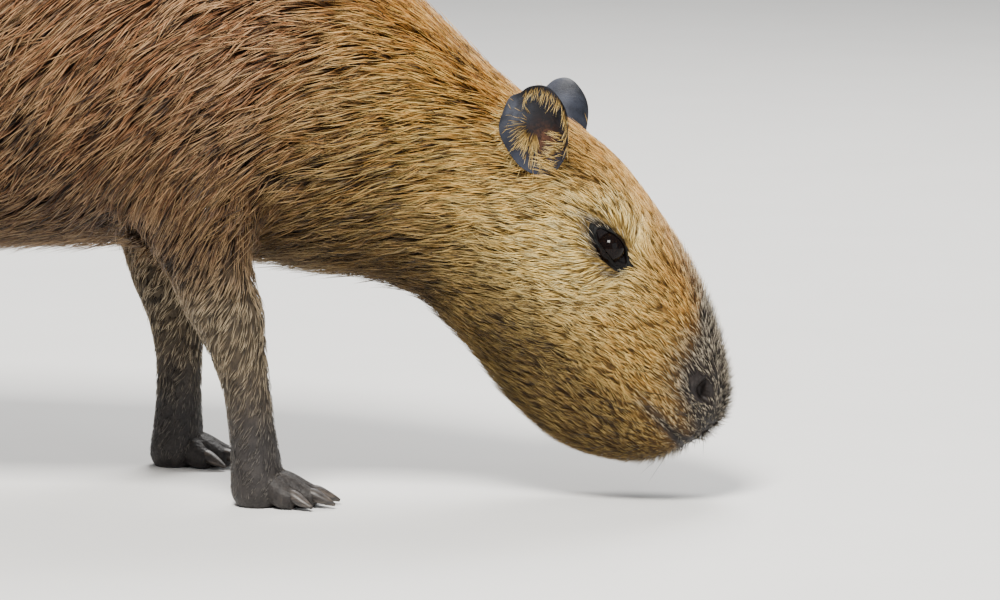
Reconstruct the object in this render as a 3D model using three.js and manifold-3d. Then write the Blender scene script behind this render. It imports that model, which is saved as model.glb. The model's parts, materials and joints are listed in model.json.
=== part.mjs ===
// A life-size grazing capybara as a still museum model: trunk, neck, head, ears, eyes, legs and claws.
// Millimetres, +X towards the nose, +Y to the animal's left, +Z up, the feet on z = 0.
import * as THREE from "three";
import { mergeVertices } from "three/addons/utils/BufferGeometryUtils.js";
import Module from "manifold-3d";

const wasm = await Module();
wasm.setup();

const GAP = 0.36; // between neighbouring nodes
const DEGREE = Math.PI / 180;
const TURN = 2 * Math.PI;

// Slices across the animal from the rump to the nose. Each runs from a point on the back line to one on
// the belly line: [back x, back z, belly x, belly z, half width, level of the widest point, squareness].
const SLICES = [
  [-738, 352, -740, 330, 7, 0.5, 2.0],
  [-733, 404, -736, 284, 56, 0.5, 2.05],
  [-712, 449, -716, 250, 97, 0.5, 2.1],
  [-664, 492, -667, 222, 129, 0.48, 2.2],
  [-590, 523, -593, 205, 149, 0.46, 2.25],
  [-490, 539, -492, 195, 160, 0.44, 2.3],
  [-380, 541, -380, 189, 165, 0.43, 2.3],
  [-270, 533, -270, 189, 162, 0.43, 2.3],
  [-165, 521, -165, 193, 154, 0.44, 2.25],
  [-72, 508, -62, 194, 142, 0.46, 2.2],
  [8, 485, 18, 184, 126, 0.47, 2.2],
  [80, 442, 75, 174, 110, 0.48, 2.15],
  [142, 393, 112, 168, 97, 0.49, 2.15],
  [190, 348, 136, 160, 88, 0.5, 2.2],
  [228, 316, 155, 150, 82, 0.52, 2.2],
  [264, 296, 175, 130, 79, 0.52, 2.3],
  [299, 268, 196, 106, 76, 0.5, 2.4],
  [329, 230, 216, 80, 69, 0.5, 2.5],
  [354, 190, 236, 60, 61, 0.5, 2.6],
  [372, 150, 256, 45, 55, 0.52, 2.7],
  [384, 113, 281, 35, 51, 0.54, 2.8],
  [388, 88, 307, 31, 47, 0.55, 2.8],
  [385, 68, 334, 34, 37, 0.5, 2.6],
  [377, 56, 351, 41, 18, 0.5, 2.2],
  [370, 50, 360, 45, 3, 0.5, 2.0],
];
const NECK_START = 10.5; // slice numbers where the neck leaves the trunk and meets the head
const HEAD_START = 13.7;
const NOSE = SLICES.length - 1;

// The head's own directions in the x, z plane: along it towards the nose, and up out of its forehead.
const HEAD_PITCH = 50 * DEGREE;
const HEAD_ALONG = new THREE.Vector3(Math.cos(HEAD_PITCH), 0, -Math.sin(HEAD_PITCH));
const HEAD_UP = new THREE.Vector3(Math.sin(HEAD_PITCH), 0, Math.cos(HEAD_PITCH));

// Swellings and hollows of the flesh, on both sides: centre, reach along, across and up, height, and pitch.
const SWELLINGS = [
  { at: [-40, 135, 320], reach: [88, 60, 115], height: 13 }, // shoulder
  { at: [-600, 135, 320], reach: [110, 70, 120], height: 17 }, // haunch
  { at: [-440, 150, 280], reach: [62, 50, 85], height: -9 }, // flank
  { at: [58, 110, 300], reach: [34, 60, 90], height: -5 }, // ahead of the shoulder
  { at: [222, 78, 160], reach: [48, 40, 36], height: 7, pitch: HEAD_PITCH }, // cheek
  { at: [322, 50, 236], reach: [34, 18, 14], height: 4, pitch: HEAD_PITCH }, // brow
  { at: [336, 58, 150], reach: [26, 24, 22], height: -3.5, pitch: HEAD_PITCH }, // below the eye
  { at: [352, 44, 80], reach: [24, 24, 20], height: 4.5, pitch: HEAD_PITCH }, // upper lip
];

// A point between rows of numbers by a uniform Catmull-Rom curve.
function between(rows, s) {
  const last = rows.length - 1;
  const i = Math.min(Math.floor(s), last - 1);
  const t = s - i;
  const b = rows[i];
  const c = rows[i + 1];
  const a = rows[i - 1] ?? b.map((v, k) => 2 * v - c[k]);
  const d = rows[i + 2] ?? c.map((v, k) => 2 * v - b[k]);
  return b.map(
    (v, k) =>
      v +
      0.5 * t * (c[k] - a[k] + t * (2 * a[k] - 5 * v + 4 * c[k] - d[k] + t * (3 * (v - c[k]) + d[k] - a[k]))),
  );
}

const power = (v, p) => Math.sign(v) * Math.abs(v) ** p;
const clamp = (v, low, high) => Math.min(Math.max(v, low), high);

// A smooth step from 0 to 1 as v goes from low to high.
function ease(v, low, high) {
  const t = clamp((v - low) / (high - low), 0, 1);
  return t * t * (3 - 2 * t);
}

// The plain form at slice s and angle a round it: 0 at the back line, a quarter turn on the animal's left.
function plainPoint(s, a) {
  const [topX, topZ, lowX, lowZ, width, level, square] = between(SLICES, s);
  const up = Math.cos(a);
  const share = level + (up > 0 ? 1 - level : level) * power(up, 2 / square);
  return new THREE.Vector3(
    lowX + (topX - lowX) * share,
    width * power(Math.sin(a), 2 / square),
    lowZ + (topZ - lowZ) * share,
  );
}

// The change of place for each unit of s and of a, and the way out of the surface.
function surfaceFrame(s, a) {
  const ds = 0.02;
  const da = 0.02;
  const s0 = Math.max(s - ds, 0.001);
  const s1 = Math.min(s + ds, NOSE - 0.001);
  const along = plainPoint(s1, a).sub(plainPoint(s0, a)).divideScalar(s1 - s0);
  const round = plainPoint(s, a + da).sub(plainPoint(s, a - da)).divideScalar(2 * da);
  return { along, round, out: along.clone().cross(round).normalize() };
}

function swellingAt(p) {
  let sum = 0;
  for (const { at, reach, height, pitch = 0 } of SWELLINGS) {
    const dx = p.x - at[0];
    const dz = p.z - at[2];
    const along = (dx * Math.cos(pitch) - dz * Math.sin(pitch)) / reach[0];
    const up = (dx * Math.sin(pitch) + dz * Math.cos(pitch)) / reach[2];
    const side = (Math.abs(p.y) - at[1]) / reach[1];
    sum += height * Math.exp(-(along * along + up * up + side * side));
  }
  return sum;
}

function bodyPoint(s, a, out = 0) {
  const p = plainPoint(s, a);
  return p.addScaledVector(surfaceFrame(s, a).out, swellingAt(p) + out);
}

// A closed surface through rings of equally many points, with a fan over each end.
function closedLoft(rings) {
  const n = rings[0].length;
  const points = rings.flat();
  const mean = (ring) => ring.reduce((m, p) => m.add(p), new THREE.Vector3()).divideScalar(n);
  const first = points.push(mean(rings[0])) - 1;
  const last = points.push(mean(rings.at(-1))) - 1;
  const faces = [];
  for (let k = 0; k < n; k++) {
    const next = (k + 1) % n;
    faces.push(first, next, k);
    for (let r = 0; r < rings.length - 1; r++) {
      const here = r * n;
      const there = here + n;
      faces.push(here + k, here + next, there + next, here + k, there + next, there + k);
    }
    const end = (rings.length - 1) * n;
    faces.push(last, end + k, end + next);
  }
  let volume = 0;
  for (let f = 0; f < faces.length; f += 3) {
    volume += points[faces[f]].dot(points[faces[f + 1]].clone().cross(points[faces[f + 2]]));
  }
  if (volume < 0) faces.reverse();
  return new THREE.BufferGeometry().setFromPoints(points).setIndex(faces);
}

// A closed geometry as a solid for joining and cutting.
function solidOf(geometry) {
  const bare = geometry.clone();
  bare.deleteAttribute("normal");
  bare.deleteAttribute("uv");
  const merged = mergeVertices(bare, 1e-4);
  return new wasm.Manifold(
    new wasm.Mesh({
      numProp: 3,
      vertProperties: merged.attributes.position.array,
      triVerts: new Uint32Array(merged.index.array),
    }),
  );
}

const joined = (solids) => wasm.Manifold.union(solids);

// The largest closed surface of a solid, which fills a sealed hollow and drops a loose scrap.
const largest = (solid) => solid.decompose().reduce((a, b) => (b.volume() > a.volume() ? b : a));

function geometryOf(solid) {
  const { vertProperties, triVerts } = solid.getMesh();
  const geometry = new THREE.BufferGeometry();
  geometry.setAttribute("position", new THREE.BufferAttribute(vertProperties, 3));
  geometry.setIndex(new THREE.BufferAttribute(triVerts, 1));
  geometry.computeVertexNormals();
  return geometry;
}

// Part of the body from one slice to another, out from its surface by a level that may change with s.
function bodyLoft(lengths, sides, level) {
  const ring = (s) =>
    Array.from({ length: sides }, (_, k) => bodyPoint(s, ((k + 0.5) / sides) * TURN, level(s)));
  const slices = lengths.flatMap(({ from, to, rings }) =>
    Array.from({ length: rings }, (_, r) => from + ((to - from) * r) / rings),
  );
  return solidOf(closedLoft([...slices, lengths.at(-1).to].map(ring)));
}

const SIDES = 26;
const LENGTHS = [
  { from: 0, to: NECK_START, rings: 16 },
  { from: NECK_START, to: HEAD_START, rings: 6 },
  { from: HEAD_START, to: NOSE, rings: 20 },
];

// Everything ahead of the plane of slice s, or behind it, kept half a gap away from the plane.
function sideOfSlice(s, ahead) {
  const [topX, topZ, lowX, lowZ] = between(SLICES, s);
  const up = new THREE.Vector3(topX - lowX, 0, topZ - lowZ).normalize();
  const left = new THREE.Vector3(0, 1, 0);
  const onward = left.clone().cross(up);
  const size = 1600;
  const shift = (size + GAP) / 2;
  const box = new THREE.BoxGeometry(size, size, size).translate(ahead ? shift : -shift, 0, 0);
  const basis = new THREE.Matrix4().makeBasis(onward, left, up);
  return solidOf(box.applyMatrix4(basis.setPosition((topX + lowX) / 2, 0, (topZ + lowZ) / 2)));
}

// A level slab between two heights, wider and longer than the animal.
const slab = (low, high) =>
  solidOf(new THREE.BoxGeometry(2400, 1000, high - low).translate(0, 0, (low + high) / 2));

// A round tube through points with a radius at each, its rings upright across the way it runs.
function tube(stations, sides, rings) {
  const upright = new THREE.Vector3(0, 0, 1);
  const made = [];
  for (let r = 0; r <= rings; r++) {
    const s = (r / rings) * (stations.length - 1);
    const [x, y, z, wide, high] = between(stations, s);
    const ahead = between(stations, Math.min(s + 0.05, stations.length - 1));
    const behind = between(stations, Math.max(s - 0.05, 0));
    const way = new THREE.Vector3(ahead[0] - behind[0], ahead[1] - behind[1], ahead[2] - behind[2]);
    const side = way.normalize().clone().cross(upright).normalize();
    const up = side.clone().cross(way).normalize();
    made.push(
      Array.from({ length: sides }, (_, k) => {
        const a = ((k + 0.5) / sides) * TURN;
        return new THREE.Vector3(x, y, z)
          .addScaledVector(side, wide * Math.cos(a))
          .addScaledVector(up, high * Math.sin(a));
      }),
    );
  }
  return solidOf(closedLoft(made));
}

// A leg in level slices from inside the trunk down past the floor: [x, distance from the middle, z, fore-and-aft
// radius, sideways radius]. Above its cut height it belongs to the trunk.
const FORE_LEG = [
  [-60, 74, 362, 22, 20],
  [-58, 84, 322, 54, 36],
  [-52, 92, 275, 62, 42],
  [-43, 94, 232, 56, 42],
  [-31, 94, 192, 45, 37],
  [-20, 93, 162, 36, 31],
  [-8, 91, 125, 25, 25],
  [0, 90, 92, 20, 21],
  [4, 90, 62, 19, 20],
  [7, 90, 38, 20, 22],
  [9, 90, 16, 22, 25],
  [9, 90, -5, 21, 24],
];
const HIND_LEG = [
  [10, 98, 405, 26, 22],
  [14, 104, 368, 70, 42],
  [16, 109, 320, 94, 52],
  [14, 112, 270, 94, 52],
  [7, 112, 225, 76, 46],
  [-7, 111, 188, 56, 38],
  [-27, 109, 152, 39, 30],
  [-42, 107, 118, 27, 23],
  [-42, 106, 86, 22, 20],
  [-29, 105, 56, 22, 21],
  [-14, 105, 30, 26, 24],
  [-5, 105, 12, 29, 26],
  [-4, 105, -5, 28, 25],
];
const FORE_TOES = { fan: [-27, -9, 9, 27], lengths: [42, 52, 52, 43], from: [4, 21], wide: 10.5, high: 10 };
const HIND_TOES = { fan: [-19, 0, 19], lengths: [64, 74, 64], from: [-8, 25], wide: 13.5, high: 12 };
const LEGS = {
  foreleg_right: { slices: FORE_LEG, toes: FORE_TOES, cut: 188, claw: 21, x: 22, y: -90, lean: 0 },
  foreleg_left: { slices: FORE_LEG, toes: FORE_TOES, cut: 188, claw: 21, x: -82, y: 90, lean: 44 },
  hindleg_right: { slices: HIND_LEG, toes: HIND_TOES, cut: 194, claw: 26, x: -618, y: -105, lean: 22 },
  hindleg_left: { slices: HIND_LEG, toes: HIND_TOES, cut: 194, claw: 26, x: -560, y: 105, lean: -26 },
};
const LEAN_HEIGHT = 300; // where a leg's swing back or forward reaches its full amount

// One leg of a pair in level slices, its upper end swung by its lean.
const legStations = ({ slices, x, y, lean }) =>
  slices.map(([sx, sy, z, along, across]) => [
    x + sx + lean * Math.max(0, z / LEAN_HEIGHT),
    Math.sign(y) * sy,
    z,
    along,
    across,
  ]);

function legForm(leg, grown = 0) {
  const sides = 14;
  const rings = 14;
  const stations = legStations(leg);
  const ring = (s) => {
    const [x, y, z, along, across] = between(stations, s);
    return Array.from({ length: sides }, (_, k) => {
      const a = (k / sides) * TURN;
      return new THREE.Vector3(x + (along + grown) * Math.cos(a), y + (across + grown) * Math.sin(a), z);
    });
  };
  const last = stations.length - 1;
  return solidOf(closedLoft(Array.from({ length: rings + 1 }, (_, r) => ring((last * r) / rings))));
}

// Where each toe of a foot runs: from over the sole, past its knuckle, to its tip.
const toePaths = ({ toes, x, y }) =>
  toes.fan.map((angle, i) => {
    const { from, wide, high } = toes;
    const way = new THREE.Vector3(Math.cos(angle * DEGREE), Math.sin(angle * DEGREE), 0);
    const at = (share, z) => new THREE.Vector3(x + from[0], y, z).addScaledVector(way, toes.lengths[i] * share);
    return {
      way,
      tip: at(1, high * 0.72),
      points: [
        [...at(-0.1, from[1]), wide * 0.9, high],
        [...at(0.42, from[1] * 0.84), wide * 1.04, high * 1.06],
        [...at(0.76, high * 0.95), wide, high],
        [...at(1, high * 0.72), wide * 0.66, high * 0.68],
      ],
    };
  });

// A blunt hoof-like claw over a toe's tip, or that claw grown by a margin.
function clawForm({ way, tip }, size, grown = 0) {
  const at = (share, z) => [...tip.clone().addScaledVector(way, size * share).setZ(z)];
  const points = [
    [...at(-0.42, tip.z + size * 0.12), size * 0.2 + grown, size * 0.18 + grown],
    [...at(-0.1, tip.z + size * 0.16), size * 0.28 + grown, size * 0.24 + grown],
    [...at(0.4 + grown / size, tip.z - size * 0.03), size * 0.21 + grown, size * 0.17 + grown],
    [...at(0.8 + grown / size, size * 0.16), size * 0.07 + grown, size * 0.06 + grown],
  ];
  return tube(points, 6, 4);
}

const body = bodyLoft(LENGTHS, SIDES, () => 0);
const upperLegs = Object.values(LEGS).map((leg) => legForm(leg).intersect(slab(leg.cut + GAP / 2, 600)));
const lowerLegsClear = Object.values(LEGS).map((leg) => legForm(leg, GAP).intersect(slab(-10, leg.cut)));
const trunkAndNeck = joined([body, ...upperLegs])
  .intersect(sideOfSlice(HEAD_START, false))
  .subtract(joined(lowerLegsClear));

const nodes = new Map();
nodes.set("torso", largest(trunkAndNeck.intersect(sideOfSlice(NECK_START, false))));
nodes.set("neck", largest(trunkAndNeck.intersect(sideOfSlice(NECK_START, true))));

for (const [name, leg] of Object.entries(LEGS)) {
  const paths = toePaths(leg);
  const flesh = joined([legForm(leg), ...paths.map(({ points }) => tube(points, 6, 3))]);
  const lower = flesh.intersect(slab(0, leg.cut - GAP / 2));
  const cut = paths.reduce((solid, path) => solid.subtract(clawForm(path, leg.claw, GAP)), lower);
  nodes.set(name, largest(cut));
  paths.forEach((path, i) => {
    const claw = clawForm(path, leg.claw).intersect(slab(0, 100));
    nodes.set(`claw_${name}_${i + 1}`, claw);
  });
}

// The eyes: where they sit on the head, and their almond opening between raised lids.
const EYE = { slice: 16.93, turn: 0.155, radius: 12.8, sink: 8.5, lid: [29, 14.5, 11], opening: [21.5, 9] };

// A place on the head with x towards the nose, z out of the surface and y round it.
function placeOnHead(s, turn, side, sink) {
  const a = side * turn * TURN;
  const { out } = surfaceFrame(s, a);
  const along = HEAD_ALONG.clone().addScaledVector(out, -HEAD_ALONG.dot(out)).normalize();
  const across = out.clone().cross(along);
  return new THREE.Matrix4().makeBasis(along, across, out).setPosition(bodyPoint(s, a, -sink));
}

// A pointed oval in its own plane, from corner to corner along x.
function almond(long, high) {
  const shape = new THREE.Shape().moveTo(-long, 0);
  shape.quadraticCurveTo(-long * 0.15, high * 1.85, long, 0);
  shape.quadraticCurveTo(long * 0.15, -high * 1.85, -long, 0);
  return shape;
}

const eyeForms = [-1, 1].map((side) => {
  const place = placeOnHead(EYE.slice, EYE.turn, side, EYE.sink);
  const ball = (r) => solidOf(new THREE.SphereGeometry(r, 12, 8).applyMatrix4(place));
  const lids = new THREE.SphereGeometry(1, 16, 10).scale(...EYE.lid).translate(0, 0, 4);
  const opening = new THREE.ExtrudeGeometry(almond(...EYE.opening), {
    depth: 30,
    bevelEnabled: false,
    curveSegments: 6,
  }).translate(0, 0, 5.5);
  return {
    ball: ball(EYE.radius),
    socket: ball(EYE.radius + GAP),
    lids: solidOf(lids.applyMatrix4(place)),
    opening: solidOf(opening.applyMatrix4(place)),
  };
});

// Nostrils: a slanting comma-shaped pit with a rim, on each side of the nose.
const NOSTRIL = { slice: 20.5, turn: 0.14, slant: 0.6, rim: [11, 7.5, 4.5], pit: [7.6, 4.4, 10] };
const nostrilForms = [-1, 1].map((side) => {
  const place = placeOnHead(NOSTRIL.slice, NOSTRIL.turn, side, 1);
  const ball = (size) =>
    new THREE.SphereGeometry(1, 10, 7).scale(...size).rotateZ(NOSTRIL.slant * side).applyMatrix4(place);
  return { rim: solidOf(ball(NOSTRIL.rim)), pit: solidOf(ball(NOSTRIL.pit)) };
});

// The mouth lies in one plane along the head, from a corner on each side round the front of the muzzle.
const MOUTH = { corner: [332, 0, 81], from: 19.4, wide: 140, length: 90, open: 2.4, depth: 6 };
const LIP = { apart: 4, sunk: 1.3, thick: [3.4, 1.6], samples: 8 };
const mouthCorner = new THREE.Vector3(...MOUTH.corner);
const headInside = bodyLoft([{ from: 17, to: NOSE - 0.9, rings: 10 }], 24, () => -MOUTH.depth);
const mouthPlane = new THREE.Matrix4().makeBasis(HEAD_ALONG, new THREE.Vector3(0, 1, 0), HEAD_UP);
const mouthSlot = solidOf(
  new THREE.BoxGeometry(MOUTH.length, MOUTH.wide, MOUTH.open)
    .translate(MOUTH.length / 2, 0, 0)
    .applyMatrix4(mouthPlane.setPosition(mouthCorner)),
).subtract(headInside);

// Where a rising test first holds between two values, found by halving.
function crossing(low, high, test) {
  for (let n = 0; n < 24; n++) {
    const middle = (low + high) / 2;
    if (test(middle)) high = middle;
    else low = middle;
  }
  return (low + high) / 2;
}

// A lip: a thin roll along the mouth, over or under its plane, thinner towards the corners.
function lipForm(over) {
  const height = (s, a) => plainPoint(s, a).sub(mouthCorner).dot(HEAD_UP) - over;
  const front = crossing(MOUTH.from, NOSE, (s) => height(s, Math.PI) > 0);
  const half = Array.from({ length: LIP.samples }, (_, k) => {
    const share = k / (LIP.samples - 1);
    const s = front - (front - MOUTH.from) * (1 - share) ** 1.7;
    const a = crossing(0.2, Math.PI, (v) => height(s, v) < 0);
    const p = bodyPoint(s, a, -LIP.sunk);
    const thick = LIP.thick[1] + (LIP.thick[0] - LIP.thick[1]) * ease(share, 0, 0.5);
    return [p.x, p.y, p.z, thick, thick];
  });
  const other = half.slice(0, -1).map(([x, y, z, ...thick]) => [x, -y, z, ...thick]);
  const middle = half.at(-1).with(1, 0);
  return tube([...half.slice(0, -1), middle, ...other.toReversed()], 5, 14);
}
const lips = [-LIP.apart, LIP.apart].map(lipForm);

// The cleft of the upper lip, in the middle below the nose.
const CLEFT = { top: [391, 0, 80], length: 40, wide: 2.2, deep: 40 };
const cleftSlot = solidOf(
  new THREE.BoxGeometry(CLEFT.deep, CLEFT.wide, CLEFT.length)
    .translate(-CLEFT.deep / 2, 0, -CLEFT.length / 2)
    .rotateY(HEAD_PITCH / 2)
    .translate(...CLEFT.top),
).subtract(headInside);

// An ear as a cupped shell: a disc bowed into a cup, its front edge rolled in, thick at its root.
const EAR = {
  root: { right: [255, 62, 264], left: [249, 66, 257] },
  up: { right: [-0.16, 0.34, 0.92], left: [-0.2, 0.55, 0.8] },
  face: [0.34, 0.92, -0.16],
  wide: 33,
  tall: 39,
  cup: 12,
  rim: 3,
  thick: 9,
};
function earForm(name, side) {
  const sides = 16;
  const rings = 4;
  const [upX, upY, upZ] = EAR.up[name];
  const up = new THREE.Vector3(upX, side * upY, upZ).normalize();
  const face = new THREE.Vector3(EAR.face[0], side * EAR.face[1], EAR.face[2]);
  face.addScaledVector(up, -face.dot(up)).normalize();
  const front = face.clone().cross(up).multiplyScalar(side).normalize();
  if (front.x < 0) front.negate();
  const [rootX, rootY, rootZ] = EAR.root[name];
  const root = new THREE.Vector3(rootX, side * rootY, rootZ);
  const at = (share, turn, back) => {
    const c = Math.cos(turn);
    const s = Math.sin(turn);
    const w = share * EAR.wide * c * (0.88 + 0.12 * s);
    const u = EAR.tall * (1 + share * s * (1 - 0.06 * c * c)) - 4;
    const roll = Math.max(0, c) ** 3 * share ** 4 * 8;
    const depth = -EAR.cup * (1 - share ** 2.2) + roll;
    const wall = EAR.rim + (EAR.thick - EAR.rim) * (1 - share) + (s < 0 ? -s * 2 * share : 0);
    return root
      .clone()
      .addScaledVector(front, w - roll * 0.8)
      .addScaledVector(up, u)
      .addScaledVector(face, depth - (back ? wall : 0));
  };
  const ring = (share, back) => Array.from({ length: sides }, (_, k) => at(share, (k / sides) * TURN, back));
  const shares = Array.from({ length: rings }, (_, r) => (r + 0.6) / (rings - 0.4));
  return solidOf(
    closedLoft([...shares.map((v) => ring(v, false)), ...shares.toReversed().map((v) => ring(v, true))]),
  );
}

let head = joined([body.intersect(sideOfSlice(HEAD_START, true)), ...lips, ...eyeForms.map((eye) => eye.lids)]);
for (const eye of eyeForms) head = head.subtract(eye.opening).subtract(eye.socket);
for (const nostril of nostrilForms) head = head.add(nostril.rim);
for (const nostril of nostrilForms) head = head.subtract(nostril.pit);
nodes.set("head", largest(head.subtract(mouthSlot).subtract(cleftSlot)));

const headClear = bodyLoft([{ from: 11, to: 18, rings: 14 }], SIDES, () => GAP);
[-1, 1].forEach((side, i) => {
  const name = side < 0 ? "right" : "left";
  nodes.set(`eye_${name}`, eyeForms[i].ball);
  nodes.set(`ear_${name}`, largest(earForm(name, side).subtract(headClear)));
});

// Colours of the coat, the bare skin, the eyes and the claws.
const material = (color, roughness) => new THREE.MeshStandardMaterial({ color, roughness, metalness: 0 });
const MATERIALS = {
  coat: material(0x7d5230, 0.8),
  ear: material(0x4a423f, 0.7),
  eye: material(0x0b0807, 0.1),
  claw: material(0x2e2a28, 0.45),
};
const kindOf = (name) => Object.keys(MATERIALS).find((kind) => name.startsWith(kind)) ?? "coat";

const animal = new THREE.Group();
for (const [name, solid] of nodes) {
  const mesh = new THREE.Mesh(geometryOf(solid), MATERIALS[kindOf(name)]);
  mesh.name = name;
  animal.add(mesh);
}

// The origin goes to the middle of the animal's box, on the floor.
const box = new THREE.Box3().setFromObject(animal);
const middle = box.getCenter(new THREE.Vector3());
animal.position.set(-middle.x, -middle.y, -box.min.z);
const model = new THREE.Group();
model.add(animal);
export default model;
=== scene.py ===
import bpy
import json
import math
import numpy as np
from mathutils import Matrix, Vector
from mathutils.bvhtree import BVHTree
from mathutils.kdtree import KDTree

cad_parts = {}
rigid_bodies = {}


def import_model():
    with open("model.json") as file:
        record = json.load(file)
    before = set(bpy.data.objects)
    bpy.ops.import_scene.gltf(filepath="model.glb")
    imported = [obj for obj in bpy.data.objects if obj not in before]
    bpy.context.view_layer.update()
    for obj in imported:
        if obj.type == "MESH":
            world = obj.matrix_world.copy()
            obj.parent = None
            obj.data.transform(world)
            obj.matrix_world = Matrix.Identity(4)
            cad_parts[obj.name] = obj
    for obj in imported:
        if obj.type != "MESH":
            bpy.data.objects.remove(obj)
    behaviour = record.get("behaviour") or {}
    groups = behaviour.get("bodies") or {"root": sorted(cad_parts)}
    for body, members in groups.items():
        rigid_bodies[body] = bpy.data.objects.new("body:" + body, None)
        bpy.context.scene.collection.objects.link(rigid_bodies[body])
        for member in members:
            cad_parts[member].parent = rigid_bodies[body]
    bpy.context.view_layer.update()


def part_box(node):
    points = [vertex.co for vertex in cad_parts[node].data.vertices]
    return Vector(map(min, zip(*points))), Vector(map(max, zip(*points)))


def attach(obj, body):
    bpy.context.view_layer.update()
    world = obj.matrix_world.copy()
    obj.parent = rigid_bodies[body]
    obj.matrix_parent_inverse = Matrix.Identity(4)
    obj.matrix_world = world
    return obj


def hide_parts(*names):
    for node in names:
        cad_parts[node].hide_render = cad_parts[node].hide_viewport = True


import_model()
rng = np.random.default_rng(20816)
tau = 2 * math.pi
mm = 0.001

# The animal's form in millimetres of its own frame: +x to the nose, +y to its left, z = 0 the floor.
form = {
    # back x, back z, belly x, belly z, half width, level of the widest point, squareness
    "slices": [
        [-738, 352, -740, 330, 7, 0.5, 2.0],
        [-733, 404, -736, 284, 56, 0.5, 2.05],
        [-712, 449, -716, 250, 97, 0.5, 2.1],
        [-664, 492, -667, 222, 129, 0.48, 2.2],
        [-590, 523, -593, 205, 149, 0.46, 2.25],
        [-490, 539, -492, 195, 160, 0.44, 2.3],
        [-380, 541, -380, 189, 165, 0.43, 2.3],
        [-270, 533, -270, 189, 162, 0.43, 2.3],
        [-165, 521, -165, 193, 154, 0.44, 2.25],
        [-72, 508, -62, 194, 142, 0.46, 2.2],
        [8, 485, 18, 184, 126, 0.47, 2.2],
        [80, 442, 75, 174, 110, 0.48, 2.15],
        [142, 393, 112, 168, 97, 0.49, 2.15],
        [190, 348, 136, 160, 88, 0.5, 2.2],
        [228, 316, 155, 150, 82, 0.52, 2.2],
        [264, 296, 175, 130, 79, 0.52, 2.3],
        [299, 268, 196, 106, 76, 0.5, 2.4],
        [329, 230, 216, 80, 69, 0.5, 2.5],
        [354, 190, 236, 60, 61, 0.5, 2.6],
        [372, 150, 256, 45, 55, 0.52, 2.7],
        [384, 113, 281, 35, 51, 0.54, 2.8],
        [388, 88, 307, 31, 47, 0.55, 2.8],
        [385, 68, 334, 34, 37, 0.5, 2.6],
        [377, 56, 351, 41, 18, 0.5, 2.2],
        [370, 50, 360, 45, 3, 0.5, 2.0],
    ],
    # centre, reach along, across and up, height, pitched with the head or not
    "swellings": [
        [(-40, 135, 320), (88, 60, 115), 13, False],
        [(-600, 135, 320), (110, 70, 120), 17, False],
        [(-440, 150, 280), (62, 50, 85), -9, False],
        [(58, 110, 300), (34, 60, 90), -5, False],
        [(222, 78, 160), (48, 40, 36), 7, True],
        [(322, 50, 236), (34, 18, 14), 4, True],
        [(336, 58, 150), (26, 24, 22), -3.5, True],
        [(352, 44, 80), (24, 24, 20), 4.5, True],
    ],
    "headPitch": math.radians(50),
    # slice number against the depth of the coat over the skin
    "coatDepth": ([0, 9, 11, 12.5, 14, 16, 18, 20, 21.5, 24], [14, 14, 12.5, 10, 7, 4, 2.6, 1.6, 0.8, 0.5]),
    "sides": 200,
    "rings": [(0, 10.5, 104), (10.5, 13.7, 34), (13.7, 24, 200)],
}
slices = np.array(form["slices"], float)
nose = len(slices) - 1
headAlong = np.array([math.cos(form["headPitch"]), 0, -math.sin(form["headPitch"])])
headUp = np.array([math.sin(form["headPitch"]), 0, math.cos(form["headPitch"])])


def between(rows, s):
    # uniform Catmull-Rom: a cubic through the rows; its slope at each is half the step from the row before
    # to the row after
    i = np.clip(np.floor(s).astype(int), 0, len(rows) - 2)
    t = (s - i)[..., None]
    grown = np.vstack([2 * rows[0] - rows[1], rows, 2 * rows[-1] - rows[-2]])
    a, b, c, d = grown[i], grown[i + 1], grown[i + 2], grown[i + 3]
    return b + 0.5 * t * (c - a + t * (2 * a - 5 * b + 4 * c - d + t * (3 * (b - c) + d - a)))


def power(v, p):
    return np.sign(v) * np.abs(v) ** p


def ease(v, low, high):
    # 0 below low, 1 above high and 3t^2 - 2t^3 between them
    t = np.clip((np.asarray(v, float) - low) / (high - low), 0, 1)
    return t * t * (3 - 2 * t)


def bell(v, centre, reach):
    # a Gaussian, 1 at the centre and 1/e at the reach
    return np.exp(-(((v - centre) / reach) ** 2))


def unit(v):
    return v / np.maximum(np.linalg.norm(v, axis=-1, keepdims=True), 1e-12)


def dot(a, b):
    return np.sum(a * b, axis=-1)


def plainPoint(s, a):
    # a superellipse round the slice at s: height along the line from belly to back, width across it
    row = between(slices, s)
    up = np.cos(a)
    share = row[..., 5] + np.where(up > 0, 1 - row[..., 5], row[..., 5]) * power(up, 2 / row[..., 6])
    return np.stack(
        [
            row[..., 2] + (row[..., 0] - row[..., 2]) * share,
            row[..., 4] * power(np.sin(a), 2 / row[..., 6]),
            row[..., 3] + (row[..., 1] - row[..., 3]) * share,
        ],
        -1,
    )


def wayOut(s, a):
    # the cross product of the steps along and round the plain form
    step = 0.02
    low, high = np.clip(s - step, 0.001, nose), np.clip(s + step, 0, nose - 0.001)
    along = plainPoint(high, a) - plainPoint(low, a)
    return unit(np.cross(along, plainPoint(s, a + step) - plainPoint(s, a - step)))


def swellingAt(p):
    # a sum of Gaussian bumps, each in its own turned axes and on both sides
    total = np.zeros(p.shape[:-1])
    for at, reach, height, pitched in form["swellings"]:
        pitch = form["headPitch"] if pitched else 0
        dx, dz = p[..., 0] - at[0], p[..., 2] - at[2]
        along = (dx * math.cos(pitch) - dz * math.sin(pitch)) / reach[0]
        up = (dx * math.sin(pitch) + dz * math.cos(pitch)) / reach[2]
        side = (np.abs(p[..., 1]) - at[1]) / reach[1]
        total += height * np.exp(-(along**2 + up**2 + side**2))
    return total


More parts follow.
